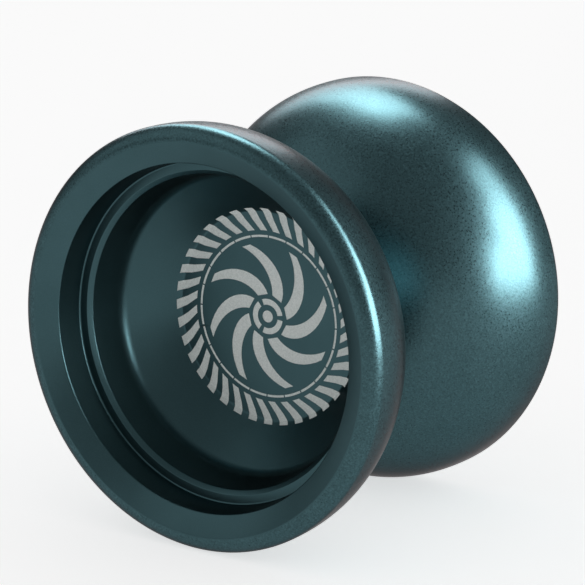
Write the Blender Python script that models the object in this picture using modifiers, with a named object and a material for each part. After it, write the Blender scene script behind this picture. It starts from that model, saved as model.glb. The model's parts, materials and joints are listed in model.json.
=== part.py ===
"""Butterfly-shaped metal yo-yo with a shielded ball bearing.

Metres, +Z up.  The spin axis is the world Y axis and the origin is the middle
of the yo-yo, halfway between the two halves.  The front half lies on -Y and
the rear half on +Y.  Every turned piece is drawn as a profile of
(radius, height) pairs, where height is the distance from the middle plane,
and is spun about its own Z axis, which is then laid along -Y or +Y.
"""
import math

import bmesh
import bpy
from mathutils import Matrix

MM = 0.001

# ---- driving dimensions, millimetres ------------------------------------
# body half, outside
RIM_R = 27.5            # largest radius
CREST_H = 22.5          # height of the rim's crest: half of the overall width
ROUND_H = 1.7           # rim roundover, along the axis
ROUND_R = 2.2           # rim roundover, along the radius
WALL_H = 2.2            # half of the string gap
WALL_R = 9.9            # outer radius of the flat gap wall
FLARE_P = 2.49          # exponents of the flared side's superellipse
FLARE_Q = 1.06

# body half, cup
FACE_IN_R = 22.52       # inner edge of the sloping rim face
FACE_IN_H = 21.10
STEP_R = 22.25          # foot of the first wall
STEP_H = 17.10          # height of the ledge
LIP_CHAMFER = 0.56      # 45 degree chamfer on the ledge's inner edge
LIP_R = 20.47           # inner radius of the lip, where the bowl's drafted wall starts
BOWL_CONE_DEG = 41.2    # slope of the bowl's cone
BOWL_CONE_R = 19.1      # outer edge of the cone
BOWL_ROUND = 2.5        # fillet from the cone into the wall
FLOOR_R = 13.87         # flat floor
FLOOR_H = 6.12

# body half, hub
PAD_GROOVE_R = (7.0, 9.5)
PAD_GROOVE_DEPTH = 1.0
POCKET_R = 6.6          # bearing pocket
POCKET_H = 2.75
SHOULDER_R = 3.95       # raised land that clamps the inner ring only
SHOULDER_H = 2.41
POST_R = 3.15           # post that the bearing slides onto
POST_TIP_H = 0.25
AXLE_HOLE_R = 2.0
AXLE_HOLE_H = 5.25      # blind end

# axle: headless M4 x 10 stud
AXLE_R = 1.95
AXLE_HALF = 5.0
AXLE_CHAMFER = 0.35
SOCKET_AF = 2.0
SOCKET_DEPTH = 2.0

# size C bearing: 6.35 x 12.70 x 4.76
BRG_BORE_R = 3.175
BRG_OUT_R = 6.35
BRG_HALF = 2.38
BRG_CHAMFER = 0.15
BALL_COUNT = 10
BALL_R = 0.794
PITCH_R = 4.7625
GROOVE_R = 0.85
INNER_SHOULDER_R = 4.35
OUTER_SHOULDER_R = 5.15
CAGE_R = (4.45, 5.05)
CAGE_HALF = 1.25
CAGE_WINDOW_R = 0.87
SHIELD_R = (4.48, 5.70)
SHIELD_H = (1.93, 2.08)
RECESS_R = 5.75
RECESS_H = 1.90
RECESS_LIP_R = 5.62
RECESS_LIP_H = 2.32
SNAP_R = (5.36, 5.70)
SNAP_H = (2.11, 2.29)
SNAP_GAP = 1.0

# response pads
PAD_R = (7.05, 9.45)
PAD_H = (2.28, 3.17)

BODY_STEPS = 48
SMALL_STEPS = 36


# ---- scene, collections, materials --------------------------------------
for ob in list(bpy.data.objects):
    bpy.data.objects.remove(ob, do_unlink=True)


def collection(name):
    col = bpy.data.collections.new(name)
    bpy.context.scene.collection.children.link(col)
    return col


PARTS = collection("yo_yo")
CUTTERS = collection("cutters")


def material(name, rgb, rough, metal):
    mat = bpy.data.materials.new(name)
    mat.use_nodes = True
    mat.diffuse_color = (*rgb, 1.0)
    bsdf = mat.node_tree.nodes["Principled BSDF"]
    bsdf.inputs["Base Color"].default_value = (*rgb, 1.0)
    bsdf.inputs["Roughness"].default_value = rough
    bsdf.inputs["Metallic"].default_value = metal
    return mat


def own_material(ob, kind):
    rgb, rough, metal = {
        "anodised": ((0.055, 0.125, 0.135), 0.35, 1.0),
        "steel": ((0.56, 0.57, 0.58), 0.25, 1.0),
        "ball": ((0.75, 0.76, 0.77), 0.08, 1.0),
        "cage": ((0.42, 0.38, 0.30), 0.35, 1.0),
        "silicone": ((0.75, 0.76, 0.74), 0.6, 0.0),
    }[kind]
    ob.data.materials.append(material(ob.name + "_" + kind, rgb, rough, metal))


FACING = {
    "front": Matrix.Rotation(math.radians(90), 4, "X"),
    "rear": Matrix.Rotation(math.radians(-90), 4, "X"),
}


def turned(name, profile, side, steps, closed, col=PARTS):
    """Spin a (radius, height) profile about Z, then face it front or rear."""
    bm = bmesh.new()
    vs = [bm.verts.new((r * MM, 0, h * MM)) for r, h in profile]
    for a, b in zip(vs, vs[1:]):
        bm.edges.new((a, b))
    if closed:
        bm.edges.new((vs[-1], vs[0]))
    mesh = bpy.data.meshes.new(name)
    bm.to_mesh(mesh)
    bm.free()
    ob = bpy.data.objects.new(name, mesh)
    col.objects.link(ob)
    screw = ob.modifiers.new("spin", "SCREW")
    screw.axis = "Z"
    screw.angle = math.tau
    screw.steps = screw.render_steps = steps
    screw.use_merge_vertices = True
    screw.merge_threshold = 1e-6
    screw.use_smooth_shade = True
    ob.matrix_world = FACING[side]
    return ob


def cut(ob, cutter):
    cutter.hide_render = True
    cutter.display_type = "WIRE"
    mod = ob.modifiers.new("cut_" + cutter.name, "BOOLEAN")
    mod.operation = "DIFFERENCE"
    mod.solver = "EXACT"
    mod.object = cutter


def box_cutter(name, size, centre):
    bpy.ops.mesh.primitive_cube_add(size=1.0)
    ob = bpy.context.object
    ob.name = name
    ob.data.transform(Matrix.Diagonal((*[s * MM for s in size], 1.0)))
    ob.location = [c * MM for c in centre]
    for c in list(ob.users_collection):
        c.objects.unlink(ob)
    CUTTERS.objects.link(ob)
    return ob


# ---- profiles ------------------------------------------------------------
def arc(cr, ch, rr, rh, a0, a1, n):
    """Points on an ellipse about (cr, ch); 0 degrees is +radius, 90 is +height."""
    out = []
    for i in range(n + 1):
        a = math.radians(a0 + (a1 - a0) * i / n)
        out.append((cr + rr * math.cos(a), ch + rh * math.sin(a)))
    return out


def half_profile():
    top_h = CREST_H - ROUND_H
    p = [(0.0, FLOOR_H), (FLOOR_R, FLOOR_H)]
    # cone, then a concave fillet that runs on tangent to the wall up to the lip
    slope = math.radians(BOWL_CONE_DEG)
    cone_h = FLOOR_H + (BOWL_CONE_R - FLOOR_R) * math.tan(slope)
    cr = BOWL_CONE_R - BOWL_ROUND * math.sin(slope)
    ch = cone_h + BOWL_ROUND * math.cos(slope)
    dr, dh = LIP_R - cr, STEP_H - LIP_CHAMFER - ch
    end = math.atan2(dh, dr) - math.acos(BOWL_ROUND / math.hypot(dr, dh))
    p += arc(cr, ch, BOWL_ROUND, BOWL_ROUND, BOWL_CONE_DEG - 90, math.degrees(end), 4)
    # chamfer, ledge, first wall, sloping rim face
    p += [
        (LIP_R, STEP_H - LIP_CHAMFER),
        (LIP_R + LIP_CHAMFER, STEP_H),
        (STEP_R, STEP_H),
        (FACE_IN_R, FACE_IN_H),
    ]
    # crest and roundover
    p += arc(RIM_R - ROUND_R, top_h, ROUND_R, ROUND_H, 90, 0, 4)
    # flared side down to the gap wall
    n = 10
    for i in range(1, n + 1):
        x = math.sin(math.radians(90) * i / n) ** 1.15
        r = WALL_R + (RIM_R - WALL_R) * (1 - x**FLARE_P) ** (1 / FLARE_Q)
        p.append((r, top_h - (top_h - WALL_H) * x))
    # pad groove, bearing pocket, shoulder, post, axle hole
    g0, g1 = PAD_GROOVE_R
    p += [
        (g1, WALL_H),
        (g1, WALL_H + PAD_GROOVE_DEPTH),
        (g0, WALL_H + PAD_GROOVE_DEPTH),
        (g0, WALL_H),
        (POCKET_R, WALL_H),
        (POCKET_R, POCKET_H),
        (SHOULDER_R, POCKET_H),
        (SHOULDER_R, SHOULDER_H),
        (POST_R, SHOULDER_H),
        (POST_R, POST_TIP_H),
        (AXLE_HOLE_R, POST_TIP_H),
        (AXLE_HOLE_R, AXLE_HOLE_H),
        (0.0, AXLE_HOLE_H),
    ]
    return p


def ring_profile(r, h):
    """Rectangle, outer side running downwards."""
    return [(r[0], h[1]), (r[1], h[1]), (r[1], h[0]), (r[0], h[0])]


def groove_points(centre_r, shoulder_r, inward, n=4):
    """Ball groove arc between the shoulders, from +height to -height."""
    dr = abs(shoulder_r - centre_r)
    half = math.degrees(math.acos(dr / GROOVE_R))
    mid = 180 if inward else 0
    if inward:
        return arc(centre_r, 0, GROOVE_R, GROOVE_R, mid - half, mid + half, n)
    return arc(centre_r, 0, GROOVE_R, GROOVE_R, mid + half, mid - half, n)


def inner_ring_profile():
    h, c = BRG_HALF, BRG_CHAMFER
    p = [(BRG_BORE_R, h - c), (BRG_BORE_R + c, h), (INNER_SHOULDER_R, h)]
    p += groove_points(PITCH_R, INNER_SHOULDER_R, True)
    p += [(INNER_SHOULDER_R, -h), (BRG_BORE_R + c, -h), (BRG_BORE_R, -h + c)]
    return p


def outer_ring_profile():
    h, c = BRG_HALF, BRG_CHAMFER
    p = [(BRG_OUT_R - c, h), (BRG_OUT_R, h - c), (BRG_OUT_R, c - h), (BRG_OUT_R - c, -h)]
    lower = [
        (RECESS_LIP_R, h),
        (RECESS_LIP_R, RECESS_LIP_H),
        (RECESS_R, RECESS_LIP_H),
        (RECESS_R, RECESS_H),
        (OUTER_SHOULDER_R, RECESS_H),
    ]
    p += [(r, -z) for r, z in lower]
    p += groove_points(PITCH_R, OUTER_SHOULDER_R, False)[::-1]
    p += lower[::-1]
    return p


# ---- the two halves ------------------------------------------------------
for side in ("front", "rear"):
    half = turned(side + "_half", half_profile(), side, BODY_STEPS, False)
    own_material(half, "anodised")
    pad = turned(side + "_response_pad", ring_profile(PAD_R, PAD_H), side, SMALL_STEPS, True)
    own_material(pad, "silicone")

# ---- axle ----------------------------------------------------------------
axle = turned(
    "axle",
    [
        (0, AXLE_HALF),
        (AXLE_R - AXLE_CHAMFER, AXLE_HALF),
        (AXLE_R, AXLE_HALF - AXLE_CHAMFER),
        (AXLE_R, AXLE_CHAMFER - AXLE_HALF),
        (AXLE_R - AXLE_CHAMFER, -AXLE_HALF),
        (0, -AXLE_HALF),
    ],
    "front",
    24,
    False,
)
own_material(axle, "steel")
bpy.ops.mesh.primitive_cylinder_add(
    vertices=6, radius=SOCKET_AF / math.sqrt(3) * MM, depth=2 * SOCKET_DEPTH * MM
)
socket = bpy.context.object
socket.name = "axle_socket_cutter"
for c in list(socket.users_collection):
    c.objects.unlink(socket)
CUTTERS.objects.link(socket)
socket.rotation_euler = (math.radians(90), 0, 0)
socket.location = (0, AXLE_HALF * MM, 0)
cut(axle, socket)

# ---- bearing -------------------------------------------------------------
own_material(turned("bearing_inner_ring", inner_ring_profile(), "front", SMALL_STEPS, True), "steel")
own_material(turned("bearing_outer_ring", outer_ring_profile(), "front", SMALL_STEPS, True), "steel")

cage = turned("ball_cage", ring_profile(CAGE_R, (-CAGE_HALF, CAGE_HALF)), "front", SMALL_STEPS, True)
own_material(cage, "cage")
windows = bmesh.new()
for k in range(BALL_COUNT):
    turn = Matrix.Rotation(math.tau * k / BALL_COUNT, 4, "Y")
    lay = Matrix.Translation((PITCH_R * MM, 0, 0)) @ Matrix.Rotation(math.radians(90), 4, "Y")
    bmesh.ops.create_cone(
        windows,
        cap_ends=True,
        segments=12,
        radius1=CAGE_WINDOW_R * MM,
        radius2=CAGE_WINDOW_R * MM,
        depth=1.6 * MM,
        matrix=turn @ lay,
    )
window_mesh = bpy.data.meshes.new("cage_window_cutters")
windows.to_mesh(window_mesh)
windows.free()
window_cutter = bpy.data.objects.new("cage_window_cutters", window_mesh)
CUTTERS.objects.link(window_cutter)
cut(cage, window_cutter)

ball_bm = bmesh.new()
bmesh.ops.create_uvsphere(ball_bm, u_segments=10, v_segments=6, radius=BALL_R * MM)
ball_mesh = bpy.data.meshes.new("ball")
ball_bm.to_mesh(ball_mesh)
ball_bm.free()
ball_mesh.shade_smooth()
for k in range(BALL_COUNT):
    a = math.tau * k / BALL_COUNT
    ball = bpy.data.objects.new(f"ball_{k + 1:02d}", ball_mesh.copy())
    PARTS.objects.link(ball)
    ball.location = (PITCH_R * MM * math.cos(a), 0, -PITCH_R * MM * math.sin(a))
    ball.rotation_euler = (math.radians(90), 0, 0)
    own_material(ball, "ball")

gap_cutter = box_cutter("snap_ring_gap_cutter", (SNAP_GAP, 6.0, 2.0), (0, 0, 5.5))
for side in ("front", "rear"):
    own_material(turned(side + "_shield", ring_profile(SHIELD_R, SHIELD_H), side, SMALL_STEPS, True), "steel")
    snap = turned(side + "_snap_ring", ring_profile(SNAP_R, SNAP_H), side, SMALL_STEPS, True)
    own_material(snap, "steel")
    cut(snap, gap_cutter)
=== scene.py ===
import json
import math

import bmesh
import bpy
import numpy as np
from mathutils import Matrix, Vector

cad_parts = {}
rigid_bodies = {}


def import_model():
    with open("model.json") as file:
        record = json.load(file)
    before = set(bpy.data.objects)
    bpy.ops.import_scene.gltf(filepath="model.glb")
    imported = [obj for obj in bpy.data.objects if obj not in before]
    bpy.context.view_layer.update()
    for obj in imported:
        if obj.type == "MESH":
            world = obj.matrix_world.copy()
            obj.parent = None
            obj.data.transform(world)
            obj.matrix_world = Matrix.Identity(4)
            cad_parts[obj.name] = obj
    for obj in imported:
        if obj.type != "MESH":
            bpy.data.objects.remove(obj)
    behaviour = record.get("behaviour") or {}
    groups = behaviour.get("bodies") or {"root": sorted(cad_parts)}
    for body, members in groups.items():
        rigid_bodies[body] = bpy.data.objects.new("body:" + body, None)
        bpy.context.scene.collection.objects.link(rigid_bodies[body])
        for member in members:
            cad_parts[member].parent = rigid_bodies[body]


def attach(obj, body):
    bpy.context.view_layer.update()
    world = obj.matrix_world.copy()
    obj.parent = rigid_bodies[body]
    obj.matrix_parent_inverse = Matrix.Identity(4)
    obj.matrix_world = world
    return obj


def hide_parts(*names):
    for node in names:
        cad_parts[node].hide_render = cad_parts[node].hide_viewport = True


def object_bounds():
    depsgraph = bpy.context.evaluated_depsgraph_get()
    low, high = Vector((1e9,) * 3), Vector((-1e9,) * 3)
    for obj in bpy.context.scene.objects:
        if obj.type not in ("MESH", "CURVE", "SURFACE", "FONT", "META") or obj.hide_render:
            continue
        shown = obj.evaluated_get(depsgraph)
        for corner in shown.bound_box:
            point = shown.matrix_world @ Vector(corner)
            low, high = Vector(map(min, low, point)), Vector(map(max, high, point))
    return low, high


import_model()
cad_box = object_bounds()
scene = bpy.context.scene
MM = 0.001

# ---------------------------------------------------------------- camera
# Spin axis along Y, front cup towards the camera's right-hand front.
F_PX, SIZE_PX = 3079.5, 585.0
AZ, EL, ROLL = 0.604485, 0.243278, 0.004259
CX, CY, CD = 0.27469, -1.90373, 403.02


def make_camera():
    back = Vector((math.sin(AZ) * math.cos(EL), -math.cos(AZ) * math.cos(EL), math.sin(EL)))
    right = Vector((math.cos(AZ), math.sin(AZ), 0.0))
    up = back.cross(right)
    r = math.cos(ROLL) * right + math.sin(ROLL) * up
    u = -math.sin(ROLL) * right + math.cos(ROLL) * up
    data = bpy.data.cameras.new("camera")
    data.sensor_width = 36.0
    data.lens = F_PX / SIZE_PX * 36.0
    data.clip_start, data.clip_end = 0.01, 20.0
    data.dof.use_dof = False
    cam = bpy.data.objects.new("camera", data)
    scene.collection.objects.link(cam)
    place = (back * CD - r * CX - u * CY) * MM
    rot = Matrix((r, u, back)).transposed().to_4x4()
    cam.matrix_world = Matrix.Translation(place) @ rot
    scene.camera = cam


make_camera()
scene.view_settings.view_transform = "Standard"
scene.view_settings.look = "None"


# ---------------------------------------------------------------- profiles
def arc(cr, ch, rr, rh, a0, a1, n):
    """Ellipse points about (cr, ch); 0 degrees is +radius, 90 is +height."""
    return [
        (cr + rr * math.cos(math.radians(a0 + (a1 - a0) * i / n)),
         ch + rh * math.sin(math.radians(a0 + (a1 - a0) * i / n)))
        for i in range(n + 1)
    ]


def rounded(points, n=5):
    """Turns each (r, h, radius) corner of a profile into an arc of that radius."""
    out = []
    for i, p in enumerate(points):
        if len(p) < 3 or i in (0, len(points) - 1):
            out.append(Vector(p[:2]))
            continue
        c, a, b = Vector(p[:2]), Vector(points[i - 1][:2]), Vector(points[(i + 1) % len(points)][:2])
        u, v = a - c, b - c
        lu, lv = u.length, v.length
        u.normalize(), v.normalize()
        half = math.acos(max(-1.0, min(1.0, u.dot(v)))) / 2
        t = min(p[2] / math.tan(half), 0.45 * lu, 0.45 * lv)
        radius = t * math.tan(half)
        centre = c + (u + v).normalized() * (radius / math.sin(half))
        s, e = c + u * t - centre, c + v * t - centre
        swing = s.angle_signed(e)
        for k in range(n + 1):
            w = -swing * k / n
            out.append(centre + Vector((s.x * math.cos(w) - s.y * math.sin(w), s.x * math.sin(w) + s.y * math.cos(w))))
    return [tuple(p) for p in out]


def face(points, side):
    """Points drawn about +Z, laid along -Y (front) or +Y (rear)."""
    p = np.asarray(points, float).reshape(-1, 3)
    if side == "front":
        return np.stack([p[:, 0], -p[:, 2], p[:, 1]], 1)
    return np.stack([p[:, 0], p[:, 2], -p[:, 1]], 1)


def mesh_object(name, verts, faces, sharp=35.0):
    mesh = bpy.data.meshes.new(name)
    mesh.from_pydata([tuple(v) for v in verts], [], faces)
    mesh.validate()
    mesh.update()
    mesh.shade_smooth()
    mesh.set_sharp_from_angle(angle=math.radians(sharp))
    ob = bpy.data.objects.new(name, mesh)
    scene.collection.objects.link(ob)
    return ob


def lathe(name, profile, side, segs, closed=False, sharp=35.0):
    """Spins a profile, outer side running downwards, into a closed mesh."""
    prof = [profile[0]]
    for p in profile[1:]:
        if math.hypot(p[0] - prof[-1][0], p[1] - prof[-1][1]) > 1e-5:
            prof.append(p)
    verts, rings = [], []
    for r, h in prof:
        if r < 1e-6:
            rings.append([len(verts)] * segs)
            verts.append((0.0, 0.0, h * MM))
            continue
        rings.append(list(range(len(verts), len(verts) + segs)))
        for k in range(segs):
            a = math.tau * k / segs
            verts.append((r * MM * math.cos(a), r * MM * math.sin(a), h * MM))
    faces = []
    pairs = list(zip(rings, rings[1:])) + ([(rings[-1], rings[0])] if closed else [])
    for a, b in pairs:
        for k in range(segs):
            j = (k + 1) % segs
            loop = [a[k], b[k], b[j], a[j]]
            loop = [v for i, v in enumerate(loop) if v != loop[i - 1]]
            if len(loop) > 2:
                faces.append(loop)
    return mesh_object(name, face(verts, side), faces, sharp)


# ---------------------------------------------------------------- materials
class Nodes:
    def __init__(self, name):
        self.mat = bpy.data.materials.new(name)
        self.mat.use_nodes = True
        self.tree = self.mat.node_tree
        self.bsdf = self.tree.nodes["Principled BSDF"]
        self.coords = self.tree.nodes.new("ShaderNodeTexCoord").outputs["Object"]

    def add(self, kind, **values):
        node = self.tree.nodes.new(kind)
        for key, v in values.items():
            setattr(node, key, v)
        return node

    def link(self, a, b):
        self.tree.links.new(a, b)

    def noise(self, scale, detail=2.0, rough=0.5, vector=None):
        n = self.add("ShaderNodeTexNoise")
        n.inputs["Scale"].default_value = scale
        n.inputs["Detail"].default_value = detail
        n.inputs["Roughness"].default_value = rough
        self.link(vector or self.coords, n.inputs["Vector"])
        return n.outputs["Fac"]

    def ramp(self, fac, stops):
        r = self.add("ShaderNodeValToRGB")
        e = r.color_ramp.elements
        while len(e) < len(stops):
            e.new(0.5)
        for k, (pos, rgb) in enumerate(stops):
            e[k].position = pos
            e[k].color = (*rgb, 1.0) if len(rgb) == 3 else rgb
        self.link(fac, r.inputs["Fac"])
        return r.outputs["Color"]

    def remap(self, fac, lo, hi, a=0.0, b=1.0):
        m = self.add("ShaderNodeMapRange")
        m.inputs["From Min"].default_value = a
        m.inputs["From Max"].default_value = b
        m.inputs["To Min"].default_value = lo
        m.inputs["To Max"].default_value = hi
        self.link(fac, m.inputs["Value"])
        return m.outputs["Result"]

    def bump(self, height, distance, strength=1.0, under=None):
        b = self.add("ShaderNodeBump")
        b.inputs["Distance"].default_value = distance
        b.inputs["Strength"].default_value = strength
        self.link(height, b.inputs["Height"])
        if under is not None:
            self.link(under, b.inputs["Normal"])
        return b.outputs["Normal"]

    def radius(self):
        """Distance from the spin axis, in metres."""
        sep = self.add("ShaderNodeSeparateXYZ")
        self.link(self.coords, sep.inputs[0])
        com = self.add("ShaderNodeCombineXYZ")
        self.link(sep.outputs["X"], com.inputs["X"])
        self.link(sep.outputs["Z"], com.inputs["Z"])
        ln = self.add("ShaderNodeVectorMath", operation="LENGTH")
        self.link(com.outputs[0], ln.inputs[0])
        return ln.outputs["Value"], sep.outputs["Y"]

    def set(self, **values):
        for key, v in values.items():
            self.bsdf.inputs[key.replace("_", " ")].default_value = v


def anodised(name, grain_size, grain_depth, speckle, rough):
    """Bead-blasted aluminium, dyed and anodised: a fine sparkle of tilted grains."""
    m = Nodes(name)
    m.set(Metallic=1.0, Specular_Tint=(0.55, 0.46, 0.45, 1.0))
    cells = m.noise(grain_size, 2.0, 0.6)
    broad = m.noise(160.0, 3.0)
    tone = m.add("ShaderNodeMix", data_type="RGBA", blend_type="MULTIPLY")
    tone.inputs["Factor"].default_value = 1.0
    m.link(m.ramp(broad, [(0.3, (0.0405, 0.0825, 0.0920)), (0.7, (0.0450, 0.0905, 0.1010))]), tone.inputs["A"])
    lo, hi = 1 - speckle, 1 + speckle * 1.35
    m.link(m.ramp(cells, [(0.28, (lo, lo, lo)), (0.5, (1, 1, 1)), (0.72, (hi, hi, hi))]), tone.inputs["B"])
    m.link(tone.outputs["Result"], m.bsdf.inputs["Base Color"])
    m.link(m.remap(cells, rough - 0.05, rough + 0.06, 0.3, 0.7), m.bsdf.inputs["Roughness"])
    pits = m.noise(grain_size * 2.1, 1.0, 0.5)
    m.link(m.bump(cells, grain_depth, 1.0, m.bump(pits, grain_depth * 0.4)), m.bsdf.inputs["Normal"])
    return m.mat


def etched(name):
    m = Nodes(name)
    m.set(Metallic=0.1)
    spots = m.noise(5200.0, 2.0, 0.7)
    m.link(m.ramp(spots, [(0.3, (0.62, 0.67, 0.655)), (0.7, (0.80, 0.84, 0.825))]), m.bsdf.inputs["Base Color"])
    m.link(m.remap(spots, 0.6, 0.8), m.bsdf.inputs["Roughness"])
    m.link(m.bump(spots, 0.000006), m.bsdf.inputs["Normal"])
    return m.mat


def turned_steel(name, light, dark, rough=0.22, lines=26000.0):
    m = Nodes(name)
    m.set(Metallic=1.0)
    r, y = m.radius()
    com = m.add("ShaderNodeCombineXYZ")
    m.link(r, com.inputs["X"])
    m.link(y, com.inputs["Y"])
    grooves = m.noise(lines, 2.0, 0.7, com.outputs[0])
    cloud = m.noise(420.0, 3.0)
    m.link(m.ramp(cloud, [(0.3, dark), (0.7, light)]), m.bsdf.inputs["Base Color"])
    m.link(m.remap(grooves, rough * 0.8, rough * 1.3, 0.3, 0.7), m.bsdf.inputs["Roughness"])
    m.link(m.bump(grooves, 0.0000012), m.bsdf.inputs["Normal"])
    return m.mat


def silicone(name):
    m = Nodes(name)
    m.set(Roughness=0.5, Subsurface_Weight=0.25, Subsurface_Scale=0.0006)
    m.bsdf.inputs["Subsurface Radius"].default_value = (1.0, 0.9, 0.85)
    fine = m.noise(3500.0, 3.0, 0.6)
    m.link(m.ramp(m.noise(700.0), [(0.3, (0.66, 0.68, 0.67)), (0.7, (0.74, 0.75, 0.73))]), m.bsdf.inputs["Base Color"])
    m.link(m.remap(fine, 0.42, 0.62), m.bsdf.inputs["Roughness"])
    m.link(m.bump(fine, 0.000008), m.bsdf.inputs["Normal"])
    return m.mat


ANODISED = anodised("anodised_teal_cup", 6200.0, 0.0000035, 0.07, 0.35)
FLANK = anodised("anodised_teal_flank", 4300.0, 0.000009, 0.26, 0.305)
ETCHED = etched("etched_marks")
RACE = turned_steel("ground_race_steel", (0.60, 0.60, 0.61), (0.50, 0.50, 0.52), 0.18)
AXLE = turned_steel("oxide_axle_steel", (0.10, 0.10, 0.105), (0.055, 0.055, 0.06), 0.34)
CAGE = turned_steel("cage_strip_steel", (0.52, 0.49, 0.42), (0.40, 0.37, 0.31), 0.3, 9000.0)
SHIELD = turned_steel("shield_stainless", (0.62, 0.62, 0.62), (0.52, 0.52, 0.53), 0.24, 15000.0)
SNAP = turned_steel("snap_spring_steel", (0.30, 0.30, 0.31), (0.20, 0.20, 0.21), 0.3)
BALL = turned_steel("polished_ball_steel", (0.78, 0.78, 0.79), (0.72, 0.72, 0.74), 0.05, 3000.0)
PAD = silicone("white_silicone")


def finish_piece(ob, body, node, mat):
    if mat is not None:
        ob.data.materials.append(mat)
    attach(ob, body)
    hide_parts(node)
    return ob


# ---------------------------------------------------------------- body halves
RIM_R, CREST_H, ROUND_H, ROUND_R = 27.5, 22.5, 1.7, 2.2
WALL_H, WALL_R, FLARE_P, FLARE_Q = 2.2, 9.9, 2.49, 1.06
FLOOR_R, FLOOR_H = 13.87, 6.12
CONE_DEG, CONE_R, BOWL_ROUND = 41.2, 19.1, 2.5
LIP_R, CHAMFER, STEP_H = 20.47, 0.56, 17.10


def half_profile():
    top = CREST_H - ROUND_H
    slope = math.radians(CONE_DEG)
    p = [(0.0, FLOOR_H)]
    p += [(r, FLOOR_H) for r in (4.0, 8.0, 12.0, 13.4)]
    p += [(FLOOR_R, FLOOR_H, 0.5)]
    p += [(r, FLOOR_H + (r - FLOOR_R) * math.tan(slope)) for r in (14.6, 16.0, 17.5)]
    cr = CONE_R - BOWL_ROUND * math.sin(slope)
    ch = FLOOR_H + (CONE_R - FLOOR_R) * math.tan(slope) + BOWL_ROUND * math.cos(slope)
    dr, dh = LIP_R - cr, STEP_H - CHAMFER - ch
    end = math.atan2(dh, dr) - math.acos(BOWL_ROUND / math.hypot(dr, dh))
    p += arc(cr, ch, BOWL_ROUND, BOWL_ROUND, CONE_DEG - 90, math.degrees(end), 20)
    p += [
        (LIP_R, STEP_H - CHAMFER, 0.24),
        (LIP_R + CHAMFER, STEP_H, 0.12),
        (22.25, STEP_H, 0.22),
        (22.52, 21.10, 0.28),
    ]
    crest = arc(RIM_R - ROUND_R, top, ROUND_R, ROUND_H, 90, 0, 22)
    p += [(*crest[0], 1.0)] + crest[1:]
    n = 64
    for i in range(1, n):
        x = math.sin(math.radians(90) * i / n) ** 1.15
        p.append((WALL_R + (RIM_R - WALL_R) * (1 - x**FLARE_P) ** (1 / FLARE_Q), top - (top - WALL_H) * x))
    p += [
        (WALL_R, WALL_H, 0.3),
        (9.5, WALL_H, 0.05),
        (9.5, 3.2, 0.05),
        (7.0, 3.2, 0.05),
        (7.0, WALL_H, 0.05),
        (6.6, WALL_H, 0.08),
        (6.6, 2.75, 0.08),
        (3.95, 2.75, 0.05),
        (3.95, 2.41, 0.04),
        (3.15, 2.41, 0.03),
        (3.15, 0.25, 0.15),
        (2.0, 0.25, 0.12),
        (2.0, 5.0),
        (1.7, 5.25),
        (0.0, 5.25),
    ]
    return rounded(p, 4)


def prism(bm, outline, top, bottom):
    """Closed prism on a counter-clockwise outline of (u, v) points in mm."""
    up = [bm.verts.new((u * MM, v * MM, top * MM)) for u, v in outline]
    dn = [bm.verts.new((u * MM, v * MM, bottom * MM)) for u, v in outline]
    bm.faces.new(up)
    bm.faces.new(dn[::-1])
    for i in range(len(up)):
        j = (i + 1) % len(up)
        bm.faces.new((up[i], dn[i], dn[j], up[j]))


def polar(r, deg):
    a = math.radians(deg)
    return (r * math.cos(a), r * math.sin(a))


def ring_arcs(bm, r0, r1, count, fill, turn, top, bottom, steps=8):
    """A ring broken into equal arcs, so that each is one closed prism."""
    for k in range(count):
        a = turn + 360 * k / count
        w = fill * 360 / count
        o = [polar(r1, a + w * t / steps) for t in range(steps + 1)]
        i = [polar(r0, a + w * t / steps) for t in range(steps, -1, -1)]
        prism(bm, o + i, top, bottom)


def engraving_cutter(name, side):
    """Plain geometric dial: a slanted rope border, fine rings and a pinwheel, 0.05 mm deep."""
    bm = bmesh.new()
    top, bottom = FLOOR_H + 1.3, FLOOR_H - 0.6
    # rope border of slanted bars, running a little way up the cone
    bars = 36
    for k in range(bars):
        a = 360 * k / bars + 0.43
        inner = [polar(11.35, a + 5.4 * t) for t in (0, 0.5, 1)]
        middle = [polar(12.9, a + 5.5 + 5.4 * t) for t in (0, 1)]
        outer = [polar(14.35, a + 8.5 + 5.2 * t) for t in (1, 0.5, 0)]
        prism(bm, inner[::-1] + [middle[0]] + outer[::-1] + [middle[1]], top, bottom)
    ring_arcs(bm, 10.45, 10.75, 24, 0.94, 0, top, bottom)
    # pinwheel of broad curved blades
    blades = 8
    for k in range(blades):
        a = 360 * k / blades
        n = 12
        lead = [polar(3.0 + 6.6 * t / n, a + 62 * (t / n) ** 1.05) for t in range(n + 1)]
        trail = [polar(3.0 + 6.6 * t / n, a + 31 + 39 * (t / n) ** 1.10) for t in range(n, -1, -1)]
        prism(bm, trail[::-1] + lead[::-1], top, bottom)
    ring_arcs(bm, 1.55, 2.35, 3, 0.86, 10, top, bottom, 14)
    prism(bm, [polar(0.8, 360 * t / 24) for t in range(24)], top, bottom)
    bmesh.ops.recalc_face_normals(bm, faces=bm.faces)
    mesh = bpy.data.meshes.new(name)
    bm.to_mesh(mesh)
    bm.free()
    co = np.array([v.co for v in mesh.vertices])
    mesh.vertices.foreach_set("co", face(co, side).astype(np.float32).ravel())
    mesh.update()
    mesh.materials.append(ETCHED)
    ob = bpy.data.objects.new(name, mesh)
    scene.collection.objects.link(ob)
    # leave only what lies above the bottom of the engraving
    deep = 0.05
    rise = (16.5 - FLOOR_R) * math.tan(math.radians(CONE_DEG))
    core = lathe(name + "_core", [(0.0, FLOOR_H - deep), (FLOOR_R, FLOOR_H - deep), (16.5, FLOOR_H - deep + rise), (16.5, FLOOR_H - 1.5), (0.0, FLOOR_H - 1.5)], side, 240)
    core.data.materials.append(ETCHED)
    return apply_cut(ob, core)


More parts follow.
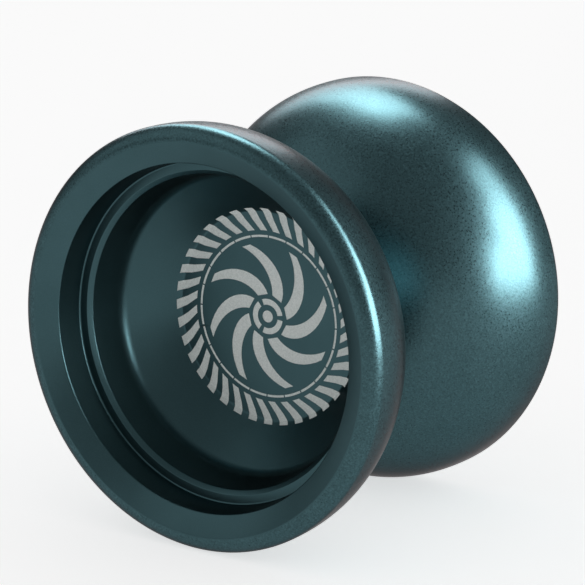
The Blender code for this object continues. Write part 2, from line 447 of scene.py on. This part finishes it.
def apply_cut(ob, cutter):
    mod = ob.modifiers.new("cut", "BOOLEAN")
    mod.operation, mod.solver, mod.object = "DIFFERENCE", "EXACT", cutter
    mod.material_mode = "TRANSFER"
    bpy.context.view_layer.update()
    dg = bpy.context.evaluated_depsgraph_get()
    mesh = bpy.data.meshes.new_from_object(ob.evaluated_get(dg))
    mesh.name = ob.name
    old = ob.data
    ob.modifiers.clear()
    ob.data = mesh
    bpy.data.meshes.remove(old)
    bpy.data.objects.remove(cutter, do_unlink=True)
    return ob


BODY = {"front": "front_side", "rear": "rear_side"}
PAD_BODY = {"front": "front_side", "rear": "rear_carrier"}
for side in ("front", "rear"):
    half = lathe(side + "_half_body", half_profile(), side, 240)
    half.data.materials.append(ANODISED)
    half.data.materials.append(FLANK)
    for poly in half.data.polygons:
        c, n = poly.center, poly.normal
        if n.x * c.x + n.z * c.z > 0.04 * math.hypot(c.x, c.z) and math.hypot(c.x, c.z) > 9.0 * MM:
            poly.material_index = 1
    apply_cut(half, engraving_cutter(side + "_engraving_cutter", side))
    half.data.shade_smooth()
    half.data.set_sharp_from_angle(angle=math.radians(35))
    for poly in half.data.polygons:
        if abs(poly.normal.y) > 0.99995:
            poly.use_smooth = False
    finish_piece(half, BODY[side], side + "_half", None)

    pad = lathe(
        side + "_silicone_pad",
        rounded([(7.06, 2.75), (7.06, 2.28, 0.1), (9.44, 2.28, 0.1), (9.44, 3.17, 0.06), (7.06, 3.17, 0.06), (7.06, 2.76)][::-1], 4),
        side, 128, True)
    finish_piece(pad, PAD_BODY[side], side + "_response_pad", PAD)


# ---------------------------------------------------------------- axle
def threaded_axle():
    """M4 x 0.7 stud: the thread is a helix in the surface itself."""
    segs, pitch, half = 72, 0.7, 5.0
    rows = int(2 * half / pitch * 14)
    major, minor, root = 1.95, 1.55, 1.50
    verts, faces = [], []
    for i in range(rows + 1):
        h = half - 2 * half * i / rows
        end = half - abs(h)
        for k in range(segs):
            a = math.tau * k / segs
            f = ((h / pitch) - k / segs) % 1.0
            w = abs(2 * f - 1)
            r = minor + (major - minor) * min(1.0, max(0.0, (w - 0.12) / 0.72))
            r = min(r, root + 0.95 * end) if end < 0.5 else r
            verts.append((r * MM * math.cos(a), r * MM * math.sin(a), h * MM))
    for i in range(rows):
        for k in range(segs):
            j = (k + 1) % segs
            faces.append((i * segs + k, (i + 1) * segs + k, (i + 1) * segs + j, i * segs + j))
    faces.append(tuple(range(segs)))
    faces.append(tuple(range(rows * segs + segs - 1, rows * segs - 1, -1)))
    ob = mesh_object("threaded_axle", face(verts, "rear"), faces, 40)
    bm = bmesh.new()
    bmesh.ops.create_cone(bm, cap_ends=True, segments=6, radius1=2.0 / math.sqrt(3) * MM, radius2=2.0 / math.sqrt(3) * MM, depth=4.0 * MM)
    mesh = bpy.data.meshes.new("hex_socket_cutter")
    bm.to_mesh(mesh)
    bm.free()
    cutter = bpy.data.objects.new("hex_socket_cutter", mesh)
    scene.collection.objects.link(cutter)
    cutter.matrix_world = Matrix.Translation((0, 5.0 * MM, 0)) @ Matrix.Rotation(math.radians(90), 4, "X")
    apply_cut(ob, cutter)
    ob.data.shade_smooth()
    ob.data.set_sharp_from_angle(angle=math.radians(40))
    return ob


finish_piece(threaded_axle(), "front_side", "axle", AXLE)

# ---------------------------------------------------------------- bearing
PITCH_R, GROOVE = 4.7625, 0.84


def groove(shoulder, inward, n=14):
    half = math.degrees(math.acos(abs(shoulder - PITCH_R) / GROOVE))
    if inward:
        return arc(PITCH_R, 0, GROOVE, GROOVE, 180 - half, 180 + half, n)
    return arc(PITCH_R, 0, GROOVE, GROOVE, -half, half, n)


inner = [(3.175, 1.0), (3.175, 2.38, 0.18), (4.35, 2.38, 0.08)] + groove(4.35, True)
inner += [(4.35, -2.38, 0.08), (3.175, -2.38, 0.18), (3.175, -1.0)]
finish_piece(lathe("inner_race", rounded(inner), "front", 144, True), "front_side", "bearing_inner_ring", RACE)

lip = [(5.62, 2.38, 0.03), (5.62, 2.32), (5.75, 2.32), (5.75, 1.90), (5.15, 1.90, 0.04)]
outer = [(6.35, 1.0), (6.35, -2.38, 0.2)]
outer += [(p[0], -p[1], *p[2:]) for p in lip]
outer += groove(5.15, False)
outer += lip[::-1] + [(6.35, 2.38, 0.2), (6.35, 1.01)]
finish_piece(lathe("outer_race", rounded(outer), "front", 168, True), "string_race", "bearing_outer_ring", RACE)

cage = lathe("ball_retainer", rounded([(4.75, 1.25), (5.05, 1.25, 0.06), (5.05, -1.25, 0.06), (4.45, -1.25, 0.06), (4.45, 1.25, 0.06), (4.74, 1.25)]), "front", 120, True)
cage.data.materials.append(CAGE)
bm = bmesh.new()
for k in range(10):
    turn = Matrix.Rotation(math.tau * k / 10, 4, "Y")
    lay = Matrix.Translation((PITCH_R * MM, 0, 0)) @ Matrix.Rotation(math.radians(90), 4, "Y")
    bmesh.ops.create_cone(bm, cap_ends=True, segments=32, radius1=0.86 * MM, radius2=0.86 * MM, depth=1.6 * MM, matrix=turn @ lay)
mesh = bpy.data.meshes.new("retainer_window_cutter")
bm.to_mesh(mesh)
bm.free()
mesh.materials.append(CAGE)
cutter = bpy.data.objects.new("retainer_window_cutter", mesh)
scene.collection.objects.link(cutter)
apply_cut(cage, cutter)
cage.data.shade_smooth()
cage.data.set_sharp_from_angle(angle=math.radians(35))
finish_piece(cage, "cage", "ball_cage", None)

for k in range(10):
    bm = bmesh.new()
    bmesh.ops.create_uvsphere(bm, u_segments=32, v_segments=18, radius=0.794 * MM)
    a = math.tau * k / 10
    bmesh.ops.translate(bm, verts=bm.verts, vec=(PITCH_R * MM * math.cos(a), 0, -PITCH_R * MM * math.sin(a)))
    mesh = bpy.data.meshes.new(f"bearing_ball_{k + 1:02d}")
    bm.to_mesh(mesh)
    bm.free()
    mesh.shade_smooth()
    ball = bpy.data.objects.new(mesh.name, mesh)
    scene.collection.objects.link(ball)
    finish_piece(ball, f"ball_{k + 1:02d}", f"ball_{k + 1:02d}", BALL)

for side in ("front", "rear"):
    # stamped shield with a shallow dish and a rolled inner edge
    shield = rounded([(5.0, 2.08), (5.35, 2.08), (5.70, 2.08, 0.03), (5.70, 1.93, 0.03), (5.3, 1.93), (5.05, 1.98), (4.55, 1.98), (4.48, 1.95, 0.02), (4.48, 2.12, 0.03), (4.60, 2.13), (5.0, 2.13, 0.05)])
    finish_piece(lathe(side + "_bearing_shield", shield[::-1][::-1], side, 120, True), "string_race", side + "_shield", SHIELD)

    # snap ring: a round-edged wire ring with an open gap
    segs, gap = 110, math.degrees(1.0 / 5.53)
    prof = rounded([(5.53, 2.29), (5.70, 2.29, 0.05), (5.70, 2.11, 0.05), (5.36, 2.11, 0.05), (5.36, 2.29, 0.05), (5.52, 2.29)], 4)
    verts, faces, m = [], [], len(prof)
    start, sweep = 90 + gap / 2, 360 - gap
    for s in range(segs + 1):
        a = math.radians(start + sweep * s / segs)
        verts += [(r * MM * math.cos(a), r * MM * math.sin(a), h * MM) for r, h in prof]
    for s in range(segs):
        for i in range(m):
            j = (i + 1) % m
            faces.append((s * m + i, s * m + j, (s + 1) * m + j, (s + 1) * m + i))
    faces.append(tuple(range(m - 1, -1, -1)))
    faces.append(tuple(range(segs * m, segs * m + m)))
    snap = mesh_object(side + "_snap_wire", face(verts, side), faces, 50)
    finish_piece(snap, "string_race", side + "_snap_ring", SNAP)


# ---------------------------------------------------------------- stage
def area(name, place, target, size, power, colour=(1, 1, 1), shape="RECTANGLE"):
    data = bpy.data.lights.new(name, "AREA")
    data.shape = shape
    data.size, data.size_y = size
    data.energy = power
    data.color = colour
    ob = bpy.data.objects.new(name, data)
    scene.collection.objects.link(ob)
    d = Vector(target) - Vector(place)
    ob.matrix_world = Matrix.Translation(place) @ d.to_track_quat("-Z", "Y").to_matrix().to_4x4()
    return ob


def softbox(name, az, el, wide, high, radiance, colour=(1.0, 1.0, 1.0), distance=0.5):
    """Soft box seen from the middle of the object: degrees from the front, degrees up, degrees across."""
    a, e = math.radians(az), math.radians(el)
    d = Vector((math.sin(a) * math.cos(e), -math.cos(a) * math.cos(e), math.sin(e)))
    w = 2 * distance * math.tan(math.radians(wide / 2))
    h = 2 * distance * math.tan(math.radians(high / 2))
    return area(name, d * distance, (0, 0, 0), (w, h), math.pi * w * h * radiance, colour)


world = bpy.data.worlds.new("studio")
scene.world = world
world.use_nodes = True
wt = world.node_tree
dim = wt.nodes["Background"]
dim.inputs["Color"].default_value = (1.0, 1.0, 1.0, 1.0)
dim.inputs["Strength"].default_value = 0.34
white = wt.nodes.new("ShaderNodeBackground")
white.inputs["Color"].default_value = (1.0, 1.0, 1.0, 1.0)
white.inputs["Strength"].default_value = 0.98
seen = wt.nodes.new("ShaderNodeLightPath")
mix = wt.nodes.new("ShaderNodeMixShader")
wt.links.new(seen.outputs["Is Camera Ray"], mix.inputs[0])
wt.links.new(dim.outputs[0], mix.inputs[1])
wt.links.new(white.outputs[0], mix.inputs[2])
wt.links.new(mix.outputs[0], wt.nodes["World Output"].inputs["Surface"])

softbox("right_softbox", 100, 18, 38, 40, 16.0)
softbox("right_upper_softbox", 107, 48, 26, 20, 8.0)
softbox("back_left_softbox", -125, 60, 24, 40, 12.5)
softbox("back_left_low_softbox", -137, 30, 44, 20, 9.0)
softbox("top_left_softbox", -98, 70, 20, 20, 4.0)
softbox("front_right_strip", 74, 9, 14, 20, 20.0)
softbox("front_left_fill", -45, 30, 50, 36, 0.55)

floor_z = cad_box[0].z - 0.00002
bm = bmesh.new()
bmesh.ops.create_grid(bm, x_segments=2, y_segments=2, size=6.0, matrix=Matrix.Translation((0, 0, floor_z)))
mesh = bpy.data.meshes.new("studio_floor")
bm.to_mesh(mesh)
bm.free()
floor = bpy.data.objects.new("studio_floor", mesh)
scene.collection.objects.link(floor)
fm = Nodes("pale_floor")
fm.set(Roughness=0.9, Emission_Strength=0.635)
fm.bsdf.inputs["Emission Color"].default_value = (1.0, 1.0, 1.0, 1.0)
fm.link(fm.ramp(fm.noise(3.0), [(0.3, (0.93, 0.93, 0.93)), (0.7, (0.95, 0.95, 0.95))]), fm.bsdf.inputs["Base Color"])
mesh.materials.append(fm.mat)

# the soft boxes light the object alone, so the pale floor stays even
lit = bpy.data.collections.new("lit_by_softboxes")
for ob in scene.objects:
    if ob.type == "MESH" and ob is not floor:
        lit.objects.link(ob)
for ob in scene.objects:
    if ob.type == "LIGHT":
        ob.light_linking.receiver_collection = lit
